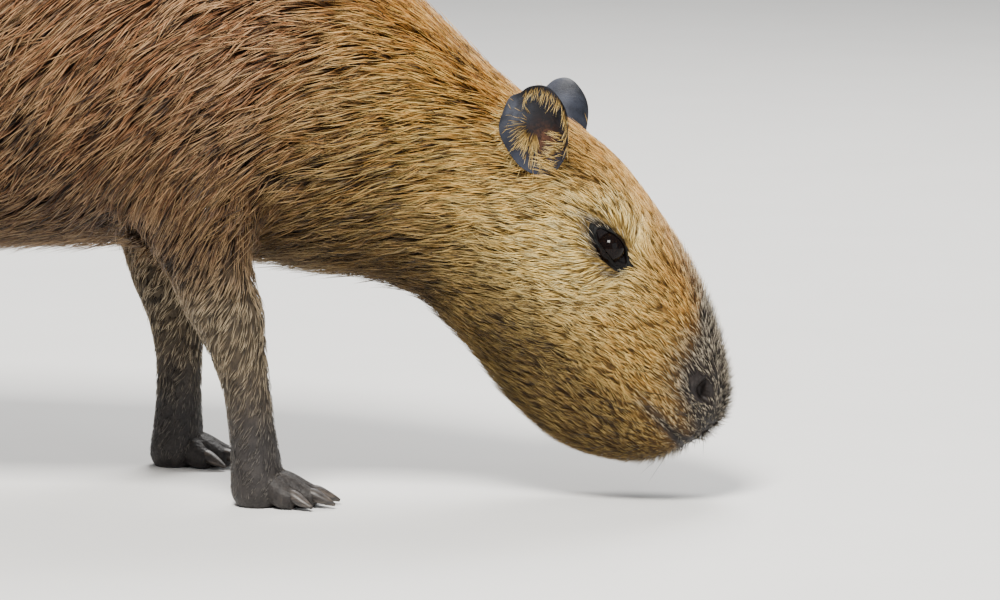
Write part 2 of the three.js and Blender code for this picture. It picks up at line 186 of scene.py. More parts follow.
def bodyPoint(s, a, out=0.0):
    p = plainPoint(s, a)
    return p + wayOut(s, a) * (swellingAt(p) + out)[..., None]


def coatDepth(s):
    return np.interp(s, *form["coatDepth"])


# eyes, nose and mouth: where they sit
face = {
    "eye": {"slice": 16.93, "turn": 0.155, "radius": 12.8, "sink": 8.5},
    "pit": (21, 9.5, 9),  # half length, half height and depth of the hollow under the lids
    "nostril": {"slice": 20.5, "turn": 0.14, "slant": 0.6, "long": 9.8, "high": 6.7, "deep": 8.5},
    "mouthCorner": np.array([332.0, 0, 81]),
    "lip": {"apart": 4.4, "high": 0.95, "wide": 2.9, "groove": 3.6, "fine": 1.5},
    "cleft": {"deep": 2.6, "wide": 1.5},
}


def placeOnHead(s, turn, side):
    # a frame on the surface: x along the head, z out of it, y across
    s, a = np.array(float(s)), np.array(side * turn * tau)
    out = wayOut(s, a)
    along = unit(headAlong - out * dot(headAlong, out))
    return bodyPoint(s, a), along, np.cross(out, along), out


def localTo(place, p):
    origin, along, across, out = place
    d = p - origin
    return d @ along, d @ across, d @ out


def bothSides(part):
    return {side: placeOnHead(face[part]["slice"], face[part]["turn"], side) for side in (-1, 1)}


eyePlaces = bothSides("eye")
nostrilPlaces = bothSides("nostril")
eyeCentres = {side: place[0] - place[3] * face["eye"]["sink"] for side, place in eyePlaces.items()}
boxLow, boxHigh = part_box("eye_right")
shift = np.array((boxLow + boxHigh) / 2) / mm - eyeCentres[-1]
shift[2] = 0


def toFrame(p):
    return (np.asarray(p) + shift) * mm


def pieceFrom(name, data):
    piece = bpy.data.objects.new(name, data)
    bpy.context.scene.collection.objects.link(piece)
    return piece


print("camera and light")
camera = {"azimuth": 9.0, "elevation": 8.0, "distance": 5.5, "target": (208, 0, 153), "lens": 251.5}
az, el = math.radians(camera["azimuth"]), math.radians(camera["elevation"])
back = Vector((math.sin(az) * math.cos(el), -math.cos(az) * math.cos(el), math.sin(el)))
cameraData = bpy.data.cameras.new("photoView")
cameraData.lens = camera["lens"]
cameraData.sensor_width = 36
cameraData.clip_end = 100
cameraObject = pieceFrom("photoView", cameraData)
cameraObject.location = Vector(toFrame(camera["target"])) + back * camera["distance"]
cameraObject.rotation_euler = (-back).to_track_quat("-Z", "Y").to_euler()
bpy.context.scene.camera = cameraObject

# name, place, aim, size, watts, tint
lights = [
    ("key", (0.1, -2.5, 3.9), (0.2, 0, 0.25), 1.3, 470, (1, 0.97, 0.91)),
    ("fill", (2.6, -2.2, 1.3), (0.3, 0, 0.2), 2.4, 34, (0.94, 0.97, 1)),
    ("rim", (0.4, 2.4, 3.0), (0.0, 0, 0.3), 1.8, 170, (1, 0.98, 0.95)),
]
for name, at, aim, size, watts, tint in lights:
    lamp = bpy.data.lights.new(name, "AREA")
    lamp.energy, lamp.size, lamp.color = watts, size, tint
    lampObject = pieceFrom(name, lamp)
    lampObject.location = at
    lampObject.rotation_euler = (Vector(aim) - Vector(at)).to_track_quat("-Z", "Y").to_euler()
world = bpy.data.worlds.new("studio")
bpy.context.scene.world = world
world.use_nodes = True
background = world.node_tree.nodes["Background"].inputs
background["Color"].default_value = (0.9, 0.94, 1, 1)
background["Strength"].default_value = 0.36


# meshes from arrays
def meshFrom(name, points, triangles, smooth=True):
    mesh = bpy.data.meshes.new(name)
    mesh.vertices.add(len(points))
    mesh.vertices.foreach_set("co", np.ascontiguousarray(points, np.float32).ravel())
    mesh.loops.add(triangles.size)
    mesh.loops.foreach_set("vertex_index", np.ascontiguousarray(triangles, np.int32).ravel())
    mesh.polygons.add(len(triangles))
    mesh.polygons.foreach_set("loop_start", np.arange(0, triangles.size, 3, dtype=np.int32))
    mesh.polygons.foreach_set("use_smooth", np.full(len(triangles), smooth))
    mesh.update(calc_edges=True)
    return mesh


def setColours(mesh, name, values):
    layer = mesh.attributes.new(name, "FLOAT_COLOR", "POINT")
    layer.data.foreach_set("color", values.astype(np.float32).ravel())


def ringStrips(sides, here, there):
    # each cell between one ring's corners and the next ring's, cut along its first diagonal
    k = np.arange(sides)
    after = np.roll(k, -1)
    here, there = here[:, None] * sides, there[:, None] * sides
    first = np.stack([here + k, here + after, there + after], -1)
    second = np.stack([here + k, there + after, there + k], -1)
    return np.concatenate([first.reshape(-1, 3), second.reshape(-1, 3)])


def facingOut(points, triangles):
    # the triangles turned round where the volume they enclose comes out negative
    p, q, r = (points[triangles[:, i]] for i in range(3))
    return triangles[:, ::-1] if dot(p, np.cross(q, r)).sum() < 0 else triangles


def closedGrid(rings):
    # rings by sides by 3 points joined in strips, with a fan to the mean point over each end
    count, sides = rings.shape[:2]
    points = np.vstack([rings.reshape(-1, 3), rings[0].mean(0), rings[-1].mean(0)])
    row, k = np.arange(count), np.arange(sides)
    after = np.roll(k, -1)
    strips = ringStrips(sides, row[:-1], row[1:])
    first = np.stack([np.full(sides, count * sides), after, k], -1)
    end = (count - 1) * sides
    last = np.stack([np.full(sides, count * sides + 1), end + k, end + after], -1)
    return points, facingOut(points, np.concatenate([strips, first, last]))


# the skin: body, legs and toes as one surface
legs = {
    "fore": {
        # x, distance from the middle, z, fore-and-aft radius, sideways radius
        "slices": [
            [-60, 74, 362, 22, 20],
            [-58, 84, 322, 54, 36],
            [-52, 92, 275, 62, 42],
            [-43, 94, 232, 56, 42],
            [-31, 94, 192, 45, 37],
            [-20, 93, 162, 36, 31],
            [-8, 91, 125, 25, 25],
            [0, 90, 92, 20, 21],
            [4, 90, 62, 19, 20],
            [7, 90, 38, 20, 22],
            [9, 90, 16, 22, 25],
            [9, 90, -5, 21, 24],
        ],
        "fan": [-27, -9, 9, 27],
        "lengths": [42, 52, 52, 43],
        "from": (4, 21),
        "wide": 10.5,
        "high": 10,
        "claw": 21,
    },
    "hind": {
        "slices": [
            [10, 98, 405, 26, 22],
            [14, 104, 368, 70, 42],
            [16, 109, 320, 94, 52],
            [14, 112, 270, 94, 52],
            [7, 112, 225, 76, 46],
            [-7, 111, 188, 56, 38],
            [-27, 109, 152, 39, 30],
            [-42, 107, 118, 27, 23],
            [-42, 106, 86, 22, 20],
            [-29, 105, 56, 22, 21],
            [-14, 105, 30, 26, 24],
            [-5, 105, 12, 29, 26],
            [-4, 105, -5, 28, 25],
        ],
        "fan": [-19, 0, 19],
        "lengths": [64, 74, 64],
        "from": (-8, 25),
        "wide": 13.5,
        "high": 12,
        "claw": 26,
    },
    "places": {
        "foreleg_right": {"kind": "fore", "x": 22, "y": -90, "lean": 0},
        "foreleg_left": {"kind": "fore", "x": -82, "y": 90, "lean": 44},
        "hindleg_right": {"kind": "hind", "x": -618, "y": -105, "lean": 22},
        "hindleg_left": {"kind": "hind", "x": -560, "y": 105, "lean": -26},
    },
    "leanHeight": 300,
    # height above the floor against the depth of the coat over the skin
    "coatDepth": ([0, 40, 90, 140, 200, 260, 420], [0.8, 1.2, 2.2, 3.4, 7, 11, 13]),
    # the joint with the trunk: between which heights and how far out it is relaxed, how far and how often
    "joint": {"window": (150, 420, 1.8), "share": 0.6, "rounds": 40},
}


def legRows(place):
    rows = np.array(legs[place["kind"]]["slices"], float)
    rows[:, 0] += place["x"] + place["lean"] * np.maximum(0, rows[:, 2] / legs["leanHeight"])
    rows[:, 1] *= np.sign(place["y"])
    return rows


def legPoint(place, u, a):
    # an ellipse round a level slice of the leg, less the depth of its coat, drawn in at the sole's edge;
    # u runs from 0 at the top to 1 at the floor
    rows = legRows(place)
    row = between(rows, u * (len(rows) - 1))
    depth = np.interp(row[..., 2], *legs["coatDepth"])
    sole = 1 - 0.22 * np.clip(1 - row[..., 2] / 11, 0, 1) ** 2
    return np.stack(
        [
            row[..., 0] + (row[..., 3] - depth) * sole * np.cos(a),
            row[..., 1] + (row[..., 4] - depth) * sole * np.sin(a),
            row[..., 2],
        ],
        -1,
    )


def tubeRings(stations, sides, count):
    # ellipses set square to a smooth line through the stations, each with its own two radii
    stations = np.array(stations, float)
    s = np.linspace(0, len(stations) - 1, count)
    row = between(stations, s)
    ahead = between(stations, np.minimum(s + 0.05, len(stations) - 1))
    behind = between(stations, np.maximum(s - 0.05, 0))
    way = unit((ahead - behind)[:, :3])
    side = unit(np.cross(way, [0, 0, 1]))
    up = np.cross(side, way)
    a = (np.arange(sides) + 0.5) / sides * tau
    wide, high = row[:, None, 3:4], row[:, None, 4:5]
    offset = wide * side[:, None] * np.cos(a)[None, :, None] + high * up[:, None] * np.sin(a)[None, :, None]
    return row[:, None, :3] + offset


def toeStations(place, i):
    kind = legs[place["kind"]]
    angle = math.radians(kind["fan"][i])
    way = np.array([math.cos(angle), math.sin(angle), 0])
    start = np.array([place["x"] + kind["from"][0], place["y"], 0])

    def at(share, z):
        p = start + way * kind["lengths"][i] * share
        return [p[0], p[1], z]

    wide, high = kind["wide"], kind["high"]
    stations = [
        at(-0.1, kind["from"][1]) + [wide * 0.9, high],
        at(0.42, kind["from"][1] * 0.84) + [wide * 1.04, high * 1.06],
        at(0.76, high * 0.95) + [wide, high],
        at(1, high * 0.72) + [wide * 0.66, high * 0.68],
    ]
    return way, at(1, high * 0.72), stations


def faceDetail(p):
    # hollows under the lids and nostrils, the groove of the mouth with a lip on each side, and the cleft of
    # the upper lip
    total = np.zeros(p.shape[:-1])
    longEye, highEye, deepEye = face["pit"]
    for place in eyePlaces.values():
        x, y, z = localTo(place, p)
        r = (x / longEye) ** 2 + (y / highEye) ** 2
        total -= deepEye * np.exp(-(r**2)) * (np.abs(z) < 30)
    slant, pit = face["nostril"]["slant"], face["nostril"]
    for side, place in nostrilPlaces.items():
        x, y, z = localTo(place, p)
        turn = slant * side
        along = x * math.cos(turn) + y * math.sin(turn)
        over = y * math.cos(turn) - x * math.sin(turn) + 0.05 * along**2 * side
        r = np.sqrt((along / pit["long"]) ** 2 + (over / pit["high"]) ** 2)
        near = np.abs(z) < 20
        total += near * (0.9 * bell(r, 1.35, 0.4) - pit["deep"] * (1 - ease(r, 0.35, 1.15)))
    d = p - face["mouthCorner"]
    height, onward = d @ headUp, d @ headAlong
    lip = face["lip"]
    inMouth = ease(onward, -6, 10)
    rolls = sum(bell(height, v, lip["wide"]) for v in (-lip["apart"], lip["apart"]))
    total += inMouth * (lip["high"] * rolls - lip["groove"] * bell(height, 0, lip["fine"]))
    cleft = face["cleft"]
    split = bell(p[..., 1], 0, cleft["wide"]) * ease(height, 2, 6) * (1 - ease(height, 26, 34))
    return total - cleft["deep"] * split * ease(onward, 10, 30)


print("skin")
ringNumbers = np.concatenate([np.linspace(a, b, n, endpoint=False) for a, b, n in form["rings"]] + [[nose]])
ringNumbers[0], ringNumbers[-1] = 0.02, nose - 0.02
ringTurns = (np.arange(form["sides"]) + 0.5) / form["sides"] * tau
ringS, ringA = np.meshgrid(ringNumbers, ringTurns, indexing="ij")
bodyRings = bodyPoint(ringS, ringA, -coatDepth(ringS))
bodyRings += wayOut(ringS, ringA) * faceDetail(bodyRings)[..., None]
skinParts = [closedGrid(bodyRings)]
for name, place in legs["places"].items():
    u, a = np.meshgrid(np.linspace(0, 1, 110), np.arange(44) / 44 * tau, indexing="ij")
    skinParts.append(closedGrid(legPoint(place, u, a)))
    for i in range(len(legs[place["kind"]]["fan"])):
        skinParts.append(closedGrid(tubeRings(toeStations(place, i)[2], 24, 26)))
skin = pieceFrom("skin", meshFrom("skin", toFrame(skinParts[0][0]), skinParts[0][1]))
others = bpy.data.collections.new("others")
bpy.context.scene.collection.children.link(others)
for points, triangles in skinParts[1:]:
    part = bpy.data.objects.new("part", meshFrom("part", toFrame(points), triangles))
    others.objects.link(part)
join = skin.modifiers.new("join", "BOOLEAN")
join.operation, join.operand_type, join.collection, join.solver = "UNION", "COLLECTION", others, "MANIFOLD"
bpy.context.view_layer.update()
joinedMesh = bpy.data.meshes.new_from_object(skin.evaluated_get(bpy.context.evaluated_depsgraph_get()))
skin.modifiers.clear()
skin.data = joinedMesh
for part in list(others.objects):
    bpy.data.objects.remove(part)
bpy.data.collections.remove(others)


def pointsOf(mesh):
    co = np.empty(len(mesh.vertices) * 3, np.float32)
    mesh.vertices.foreach_get("co", co)
    return co.reshape(-1, 3).astype(float)


def legWindow(p, low, high, spread):
    # 1 near a leg between two heights, fading outwards
    window = np.zeros(len(p))
    for place in legs["places"].values():
        rows = legRows(place)[::-1]
        x, y, rx, ry = (np.interp(p[:, 2], rows[:, 2], rows[:, k]) for k in (0, 1, 3, 4))
        r = np.hypot((p[:, 0] - x) / rx, (p[:, 1] - y) / ry)
        window = np.maximum(window, 1 - ease(r, 1.05, spread))
    return window * ease(p[:, 2], low, low + 25) * (1 - ease(p[:, 2], high - 60, high))


# each leg's joint with the trunk is relaxed: its points move part of the way to their neighbours' mean
points = pointsOf(skin.data) / mm - shift
edges = np.empty(len(skin.data.edges) * 2, np.int32)
skin.data.edges.foreach_get("vertices", edges)
edges = edges.reshape(-1, 2)
weight = legWindow(points, *legs["joint"]["window"])[:, None] * legs["joint"]["share"]
linked = np.bincount(edges.ravel(), minlength=len(points))[:, None]
for _ in range(legs["joint"]["rounds"]):
    total = np.zeros_like(points)
    np.add.at(total, edges[:, 0], points[edges[:, 1]])
    np.add.at(total, edges[:, 1], points[edges[:, 0]])
    points += weight * (total / np.maximum(linked, 1) - points)
points[:, 2] = np.maximum(points[:, 2], 0)
skin.data.vertices.foreach_set("co", np.ascontiguousarray(toFrame(points), np.float32).ravel())
skin.data.update()
skin.data.shade_smooth()
print("skin triangles", sum(len(p.vertices) - 2 for p in skin.data.polygons))


# the markings, painted light and painted shade that the skin and the coat share
marks = {
    "nose": (385, 0, 88),
    "noseReach": (46, 74),
    # cheek, cheekReach and eyeReach: where the painted light round the eye and over the cheek lies
    "cheek": (256, 75, 191),
    "cheekReach": 66,
    "eyeReach": 36,
    "eyeRim": (27, 11.5),
    # nostrilReach: the dark nostrils, the nose's own dark skin with painted shade in their hollows
    "nostrilReach": (13, 11),
    # mouthReach: half the width of the painted shade along the mouth's groove
    "mouthReach": 5,
}


def glow(p, centre, reach):
    return bell(np.linalg.norm(p - centre, axis=1), 0, reach)


def bridgeAt(p):
    # the top of the muzzle from between the eyes to the nose
    return (1 - ease(np.abs(p[:, 1]), 8, 30)) * (1 - ease(p[:, 2], 145, 238)) * ease(p[:, 0], 298, 335)


def overBelly(p):
    # the height over the underline of the body
    return p[:, 2] - np.interp(p[:, 0], slices[:, 2], slices[:, 3])


def zonesAt(p):
    # first: golden neck and head; dark nose and bridge, dark nostrils (dark skin with painted shade in their
    # hollows) and
    # painted shade in the mouth's groove; dark under the body, with painted shade up the lower flank; grey
    # legs; second:
    # painted light round the eye and over the cheek, dark feet, the orange top of neck and head, and painted
    # shade under the lower jaw
    x, y, z = p[:, 0], p[:, 1], p[:, 2]
    w = p @ headUp
    golden = ease(x + 0.45 * (330 - z), 25, 200)
    fromNose = np.linalg.norm(p - np.array(marks["nose"]), axis=1)
    muzzle = 1 - ease(fromNose, *marks["noseReach"]) + 0.85 * bridgeAt(p)
    # painted shade: a dark line along the mouth's groove
    d = p - face["mouthCorner"]
    muzzle += bell(d @ headUp, 0, marks["mouthReach"]) * ease(d @ headAlong, -8, 4)
    # dark round the nostrils: the nose's own dark skin, and painted shade inside the nostrils' hollows
    for place in nostrilPlaces.values():
        along, across, off = localTo(place, p)
        halfLong, halfHigh = marks["nostrilReach"]
        muzzle += np.exp(-((along / halfLong) ** 2) - (across / halfHigh) ** 2) * (np.abs(off) < 20)
    for place in eyePlaces.values():
        along, across, off = localTo(place, p)
        halfLong, halfHigh = marks["eyeRim"]
        muzzle += (1 - ease(np.hypot(along / halfLong, across / halfHigh), 0.85, 1.15)) * (np.abs(off) < 30)
    over = overBelly(p)
    # under: the belly's own dark coat, and painted shade reaching up the lower flank
    under = (0.85 * (1 - ease(over, 8, 235)) + 0.15 * (1 - ease(over, 0, 40))) * (1 - ease(x, 170, 230))
    leg = (1 - ease(z, 150, 245)) * (1 - ease(x, 90, 130))
    mirrored = np.stack([x, np.abs(y), z], -1)
    # ring: painted light, lighter round the eye and over the cheek
    ring = sum(glow(p, place[0], marks["eyeReach"]) for place in eyePlaces.values())
    ring += 0.85 * glow(mirrored, np.array(marks["cheek"]), marks["cheekReach"])
    foot = (1 - ease(z, 45, 130)) * (1 - ease(x, 110, 140))
    crest = ease(x, -20, 120) * (1 - ease(x, 290, 350)) * (1 - ease(np.abs(y), 25, 88)) * ease(z, 210, 300)
    crest = np.maximum(crest, ease(w, 350, 388) * ease(x, 250, 300))
    # jaw: painted shade under the lower jaw
    jaw = ease(x, 170, 230) * (1 - ease(w, 270, 328))
    zones = np.stack([golden, muzzle, under, leg, ring, foot, crest, jaw], -1).clip(0, 1)
    return zones[:, :4], zones[:, 4:]


zonesA, zonesB = zonesAt(points)
setColours(skin.data, "zonesA", zonesA)
setColours(skin.data, "zonesB", zonesB)
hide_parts("torso", "neck", "head", *legs["places"])
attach(skin, "root")
skinPolygons = [tuple(p.vertices) for p in skin.data.polygons]
skinTree = BVHTree.FromPolygons([tuple(p) for p in points], skinPolygons)


def onSkin(p):
    found = [skinTree.find_nearest(q) for q in p.tolist()]
    return np.array([f[0][:] for f in found]), np.array([f[1][:] for f in found])


# the coat: tapered three-sided hairs in bunches, lying over the skin
coat = {
    # slice number against hairs per square centimetre, length, width, and the dip of their lie below level
    "number": ([0, 9, 11, 13, 15, 17, 20, 21.5, 24], [12, 12.5, 15, 21, 35, 46, 58, 56, 38]),
    "length": (
        [0, 2, 9, 11, 13, 14.5, 16, 18, 20, 21.5, 24],
        [48, 54, 54, 50, 42, 31, 22, 16.5, 10, 6, 3.5],
    ),
    "width": ([0, 9, 12, 14, 16, 19, 21.5, 24], [1.15, 1.15, 1.0, 0.85, 0.64, 0.54, 0.46, 0.42]),
    "dip": ([0, 3, 8, 9.5, 11, 12.5, 14, 16, 18, 20, 24], [58, 44, 42, 38, 22, 12, 2, -16, -36, -48, -52]),
    "bunch": 9,  # hairs to a bunch
    "spread": (0.12, 0.16),  # how far single hairs and whole bunches turn off the lie, in radians
    "pull": ([0, 12, 16, 24], [0.42, 0.4, 0.28, 0.2]),  # how far a hair's tip goes to its bunch's tip
    "legNumber": 14,
    "legPull": 0.35,
    "legSpan": (0.12, 0.93),  # the part of each leg's height, from its top, where its own hairs grow
    # height against length and width, and the dip
    "legLength": ([0, 40, 100, 150, 200, 260, 400], [5, 8, 13, 18, 27, 38, 46]),
    "legWidth": ([0, 60, 150, 250], [0.6, 0.75, 0.95, 1.25]),
    "legDip": math.radians(62),
    # the lie about the legs' roots: between which heights and how far out, its way, and its share
    "legLie": {"window": (120, 330, 1.6), "way": (-0.62, 0, -1), "share": 0.75},
    # half the size of the bare places at eye, nostril, ear and mouth, and the lowest root
    "bareEye": (24.5, 8.8),
    "bareNostril": (12.5, 9.5),
    "bareEar": (9, 8, 6),
    "bareMouth": 2.2,
    "lowest": 2.5,
    "parting": {"eye": (34, 1.4), "ear": (20, 0.6)},  # reach and strength of the lie's turn round each
    "bunchLength": (0.8, 1.18),
    "ownLength": (0.72, 1.15),
    "height": (0.6, 1.08),  # of the tips over the skin, as a share of the coat's depth
    "strays": 0.07,
    "strayHeight": (1, 7),
    "most": 147000,
    "perHair": 10,
    "mostTriangles": 190000,
}


def chooseOnGrid(area, cells, number):
    # cells of the grid are drawn with a chance in step with their area and the hairs wanted there
    chance = area * number
    count = int(chance.sum())
    pick = rng.choice(chance.size, count, p=(chance / chance.sum()).ravel())
    i, j = np.unravel_index(pick, chance.shape)
    u0, u1, v0, v1 = cells
    u = u0 + (i + rng.random(count)) / chance.shape[0] * (u1 - u0)
    v = v0 + (j + rng.random(count)) / chance.shape[1] * (v1 - v0)
    return u, v


def cellAreas(corners):
    a = corners[1:, :-1] - corners[:-1, :-1]
    b = corners[:-1, 1:] - corners[:-1, :-1]
    return np.linalg.norm(np.cross(a, b), axis=-1) / 100


print("coat roots")
gridS, gridA = np.meshgrid(np.linspace(0.02, nose - 0.02, 481), np.linspace(0, tau, 161), indexing="ij")
areas = cellAreas(bodyPoint(gridS, gridA, -coatDepth(gridS)))
wanted = np.interp((gridS[1:, 1:] + gridS[:-1, :-1]) / 2, *coat["number"])
rootS, rootA = chooseOnGrid(areas, (0.02, nose - 0.02, 0, tau), wanted)
roots = {
    "p": bodyPoint(rootS, rootA, -coatDepth(rootS)),
    "depth": coatDepth(rootS),
    "length": np.interp(rootS, *coat["length"]),
    "width": np.interp(rootS, *coat["width"]),
    "dip": np.radians(np.interp(rootS, *coat["dip"])),
    "pull": np.interp(rootS, *coat["pull"]),
    "uv": np.stack([0.01 + 0.74 * rootS / nose, 0.01 + 0.97 * (rootA / tau)], -1),
    "onLeg": np.zeros(len(rootS)),
}
for n, place in enumerate(legs["places"].values()):
    gridU, gridV = np.meshgrid(np.linspace(*coat["legSpan"], 81), np.linspace(0, tau, 41), indexing="ij")
    areas = cellAreas(legPoint(place, gridU, gridV))
    u, a = chooseOnGrid(areas, (*coat["legSpan"], 0, tau), np.full(areas.shape, coat["legNumber"]))
    p = legPoint(place, u, a)
    z = p[:, 2]
    more = {
        "p": p,
        "depth": np.interp(z, *legs["coatDepth"]),
        "length": np.interp(z, *coat["legLength"]),
        "width": np.interp(z, *coat["legWidth"]),
        "dip": np.full(len(u), coat["legDip"]),
        "pull": np.full(len(u), coat["legPull"]),
        "uv": np.stack([0.78 + 0.2 * u, 0.01 + 0.245 * n + 0.23 * a / tau], -1),
        "onLeg": 1 - ease(z, 210, 260),
    }
    roots = {key: np.concatenate([roots[key], more[key]]) for key in roots}

# each root goes to the surface that is really there; hairs that start inside another form are left out
place, normal = onSkin(roots["p"])
apart = np.linalg.norm(place - roots["p"], axis=1)
keep = apart < 5 + roots["depth"] * 0.7
earRoot = {-1: np.array([255, -62, 264.0]), 1: np.array([249, 66, 257.0])}
for side in (-1, 1):
    for bare, at, within in (("bareEye", eyePlaces[side], 30), ("bareNostril", nostrilPlaces[side], 20)):
        x, y, z = localTo(at, place)
        halfLong, halfHigh = coat[bare]
        keep &= ~(((x / halfLong) ** 2 + (y / halfHigh) ** 2 < 1) & (np.abs(z) < within))
    d = (place - earRoot[side]) / np.array(coat["bareEar"])
    keep &= dot(d, d) >= 1
d = place - face["mouthCorner"]
keep &= ~((np.abs(d @ headUp) < coat["bareMouth"]) & (d @ headAlong > 0))
keep &= place[:, 2] > coat["lowest"]
keep &= rng.random(len(keep)) < coat["most"] / max(keep.sum(), coat["most"])
roots = {key: value[keep] for key, value in roots.items()}
root, normal = place[keep], normal[keep]


def lieAt(p, normal, dip):
    # back and down by the dip, round the eyes and ears, laid in the surface
    way = np.stack([-np.cos(dip), np.zeros(len(dip)), -np.sin(dip)], -1)
    legLie = coat["legLie"]
    near = legWindow(p, *legLie["window"])[:, None] * legLie["share"]
    way = unit(way * (1 - near) + np.array(legLie["way"]) * near)
    for side in (-1, 1):
        for centre, part in ((eyePlaces[side][0], "eye"), (earRoot[side], "ear")):
            reach, push = coat["parting"][part]
            way = way + unit(p - centre) * glow(p, centre, reach)[:, None] * push
    way = way - normal * dot(way, normal)[:, None]
    return unit(way)


def turned(way, normal, angle):
    return way * np.cos(angle)[:, None] + np.cross(normal, way) * np.sin(angle)[:, None]


def wave(p, scale, seed):
    # a slow wander from -1 to 1: three crossed sine waves of different pitch
    k = np.random.default_rng(seed).normal(size=(3, 3))
    phase = p @ k.T / scale
    return np.sin(phase).sum(-1) / 3


print("coat", len(root), "hairs")
count = len(root)
lie = lieAt(root, normal, roots["dip"])
leaders = rng.choice(count, count // coat["bunch"], replace=False)
kd = KDTree(len(leaders))
for i, p in enumerate(root[leaders].tolist()):
    kd.insert(p, i)
kd.balance()
bunch = np.array([kd.find(p)[1] for p in root.tolist()])
bunchTurn = rng.normal(0, coat["spread"][1], len(leaders))
bunchLength = rng.uniform(*coat["bunchLength"], len(leaders))
bunchTone = rng.random(len(leaders))
ownTurn = rng.normal(0, coat["spread"][0], count) + 0.16 * wave(root, 55, 5)
length = roots["length"] * bunchLength[bunch] * rng.uniform(*coat["ownLength"], count)
length *= 1 + 0.4 * (1 - ease(overBelly(root), 0, 40)) * (1 - roots["onLeg"])
way = turned(lie, normal, bunchTurn[bunch] + ownTurn)
leaderWay = turned(lie[leaders], normal[leaders], bunchTurn)
leaderTip = root[leaders] + leaderWay * (roots["length"][leaders] * bunchLength)[:, None]
freeTip = root + way * length[:, None]
pull = (roots["pull"] * rng.uniform(0.3, 1.2, count))[:, None] * (leaderTip[bunch] - freeTip)
pulled = np.maximum(np.linalg.norm(pull, axis=1, keepdims=True), 1e-6)
pull *= np.minimum(1, 0.35 * length[:, None] / pulled)
high = roots["depth"] * rng.uniform(*coat["height"], count) * (1 - 0.35 * roots["onLeg"])
# the fringe under the body hangs loose, and stray hairs and the bristles of the muzzle's bridge stand up
fringe = (1 - ease(overBelly(root), 0, 50)) * (1 - roots["onLeg"])
hang = 0.8 * fringe
stand = bridgeAt(root) * rng.uniform(2, 9, count)
stand += (rng.random(count) < coat["strays"]) * rng.uniform(*coat["strayHeight"], count) * roots["depth"] / 14
stand += fringe * rng.uniform(0, 15, count) * np.minimum(1, roots["depth"] / 8)


def hairStations(shares, rise):
    # straight from the root, bent to its bunch's tip, brought down to the skin and lifted by its own height
    stations = [root - normal * 0.6]
    for share, lift in zip(shares, rise):
        free = root + way * (length * share)[:, None] + pull * share**1.6
        under, out = onSkin(free)
        raised = (high * lift + stand * share**1.3)[:, None]
        lay = under + out * raised
        loose = free + normal * raised
        stations.append(lay * (1 - hang[:, None]) + loose * hang[:, None])
    return np.stack(stations, 1)


stations = hairStations((0.5, 1.0), (0.85, 0.9))
width, uv, zones = roots["width"], roots["uv"], zonesAt(root)
tone = 0.8 * rng.random(count) + 0.2 * bunchTone[bunch]
pale = rng.random(count)


def hairPiece(name, pick, stations, width, acrossWay, uv, zones, tints):
    # three corners round each station but the last, which is the tip: two beside the line and one over it
    s = stations[pick]
    n, k = s.shape[:2]
    line = unit(s[:, 1] - s[:, 0])
    side = unit(acrossWay[pick])
    over = unit(np.cross(line, side))
    taper = np.interp(np.arange(k - 1) / (k - 1), [0, 0.3, 0.66, 1], [0.8, 1, 0.72, 0.1])
    w = width[pick][:, None, None] * taper[None, :, None]
    left = s[:, :-1] - side[:, None] * w / 2
    right = s[:, :-1] + side[:, None] * w / 2
    ridge = s[:, :-1] + over[:, None] * w * 0.45
    per = 3 * (k - 1) + 1
    points = np.concatenate([np.stack([left, ridge, right], 2).reshape(n, -1, 3), s[:, -1:]], 1)
    faces = [[0, 2, 1]]
    for r in range(k - 2):
        for c in range(3):
            a, b = 3 * r + c, 3 * r + (c + 1) % 3
            faces += [[a, b, b + 3], [a, b + 3, a + 3]]
    for c in range(3):
        faces.append([3 * (k - 2) + c, 3 * (k - 2) + (c + 1) % 3, per - 1])
    faces = np.array(faces)
    faces = facingOut(points[0] - points[0].mean(0), faces)
    triangles = (np.arange(n) * per)[:, None, None] + faces[None]
    mesh = meshFrom(name, toFrame(points.reshape(-1, 3)), triangles.reshape(-1, 3))
    along = np.append(np.repeat(np.arange(k - 1) / (k - 1), 3), 1.0)
    across = np.append(np.tile([0.0, 0.5, 1.0], k - 1), 0.5)
    hair = np.empty((n, per, 4))
    hair[..., 0] = along
    hair[..., 1:] = tints[pick][:, None, :]
    setColours(mesh, "hair", hair.reshape(-1, 4))
    for title, values in zip(("zonesA", "zonesB"), zones):
        setColours(mesh, title, np.repeat(values[pick], per, 0))
    patch = uv[pick][:, None] + np.stack([across, along], -1)[None] * 0.003
    patch = patch.reshape(-1, 2)[triangles.ravel()]
    mesh.uv_layers.new(name="OFBake").data.foreach_set("uv", patch.astype(np.float32).ravel())
    piece = pieceFrom(name, mesh)
    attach(piece, "root")
    return piece


tints = np.stack([tone, pale, bunchTone[bunch]], -1)
sideWay = np.cross(normal, way)
order = np.argsort(root[:, 0] + 0.3 * root[:, 2], kind="stable")
pieces = math.ceil(count * coat["perHair"] / coat["mostTriangles"])
coatPieces = []
for n, pick in enumerate(np.array_split(order, pieces)):
    coatPieces.append(hairPiece(f"coat_{n + 1}", pick, stations, width, sideWay, uv, zones, tints))
print("coat pieces", len(coatPieces), "triangles", count * coat["perHair"])


# eyes and lids
eye = {
    "opening": (18, 7.8),
    "bare": (27.5, 11.2),
    "margin": 0.4,
    "roll": 1.0,
    "lens": (19.5, 9, 2.4),
    "lensAt": 3.2,
    "rings": 44,
    "sides": 120,
}


def ballGrid(rings, sides):
    turns = np.arange(sides) / sides * tau
    return np.meshgrid(np.linspace(0.02, math.pi - 0.02, rings), turns, indexing="ij")


